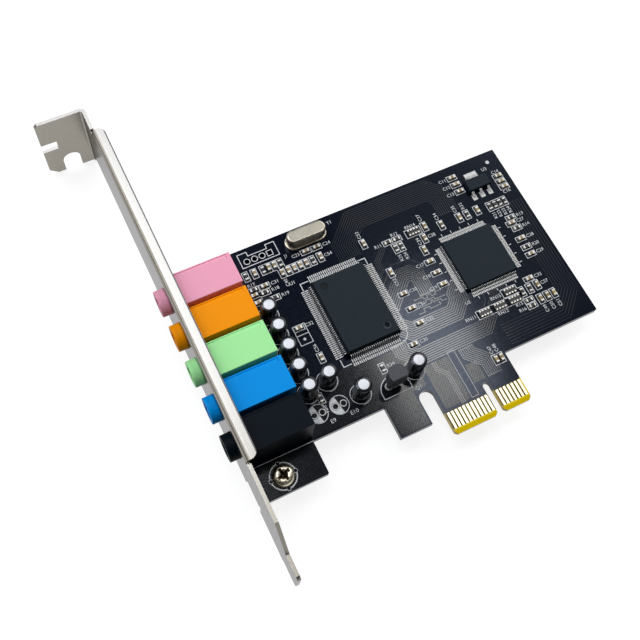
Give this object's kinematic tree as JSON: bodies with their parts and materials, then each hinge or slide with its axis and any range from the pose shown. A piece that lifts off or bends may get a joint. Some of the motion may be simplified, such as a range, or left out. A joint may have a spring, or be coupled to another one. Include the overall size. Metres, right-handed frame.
{
  "type": "sound card",
  "caption": "Sound card: black circuit board with a card-edge tongue, flat-pack chips and a column of coloured stereo jacks, screwed to a folded steel slot bracket.",
  "frame": {"origin": "centre line of the key notch, at the lower edge of the contact tongue, half the board's thickness", "axes": "+X along the board away from the bracket, +Y up the bracket to its screw tab, +Z out of the component side"},
  "size_m": [0.1053, 0.1201, 0.0211],
  "materials": {
    "plated_steel": "nickel-plated sheet steel",
    "screw_steel": "nickel-plated steel",
    "board": "glass-fibre laminate under black solder mask",
    "gold": "gold-flashed copper",
    "jack_black": "moulded",
    "jack_blue": "moulded",
    "jack_green": "moulded",
    "jack_orange": "moulded",
    "jack_pink": "moulded",
    "spring_bronze": "tinned bronze strip",
    "sleeve_black": "shrunk sleeve on an aluminium can",
    "tinned_wire": "tinned",
    "crystal_steel": "drawn can",
    "epoxy": "moulded epoxy",
    "tinned_lead": "tinned copper alloy",
    "ceramic_tan": "fired ceramic",
    "resistor_black": "glazed"
  },
  "bodies": {
    "root": {"bracket": "plated_steel", "circuit_board": "board", "edge_contacts_component_side": "gold", "edge_contacts_solder_side": "gold", "bracket_screw": "screw_steel", "rear_speaker_jack_housing": "jack_black", "rear_speaker_jack_sleeve_contact": "spring_bronze", "rear_speaker_jack_ring_spring": "spring_bronze", "rear_speaker_jack_tip_spring": "spring_bronze", "line_in_jack_housing": "jack_blue", "line_in_jack_sleeve_contact": "spring_bronze", "line_in_jack_ring_spring": "spring_bronze", "line_in_jack_tip_spring": "spring_bronze", "front_speaker_jack_housing": "jack_green", "front_speaker_jack_sleeve_contact": "spring_bronze", "front_speaker_jack_ring_spring": "spring_bronze", "front_speaker_jack_tip_spring": "spring_bronze", "centre_subwoofer_jack_housing": "jack_orange", "centre_subwoofer_jack_sleeve_contact": "spring_bronze", "centre_subwoofer_jack_ring_spring": "spring_bronze", "centre_subwoofer_jack_tip_spring": "spring_bronze", "microphone_jack_housing": "jack_pink", "microphone_jack_sleeve_contact": "spring_bronze", "microphone_jack_ring_spring": "spring_bronze", "microphone_jack_tip_spring": "spring_bronze", "capacitor_1": "sleeve_black", "capacitor_2": "sleeve_black", "capacitor_3": "sleeve_black", "capacitor_4": "sleeve_black", "capacitor_5": "sleeve_black", "capacitor_6": "sleeve_black", "capacitor_7": "sleeve_black", "capacitor_8": "sleeve_black", "capacitor_leads": "tinned_wire", "crystal_base": "crystal_steel", "crystal_can": "crystal_steel", "crystal_leads": "tinned_wire", "controller_body": "epoxy", "controller_leads": "tinned_lead", "bridge_body": "epoxy", "bridge_leads": "tinned_lead", "regulator_body": "epoxy", "regulator_leads": "tinned_lead", "transistor_body": "epoxy", "transistor_leads": "tinned_lead", "chip_capacitors": "ceramic_tan", "chip_resistors": "resistor_black", "resistor_arrays": "resistor_black"}
  },
  "joints": []
}
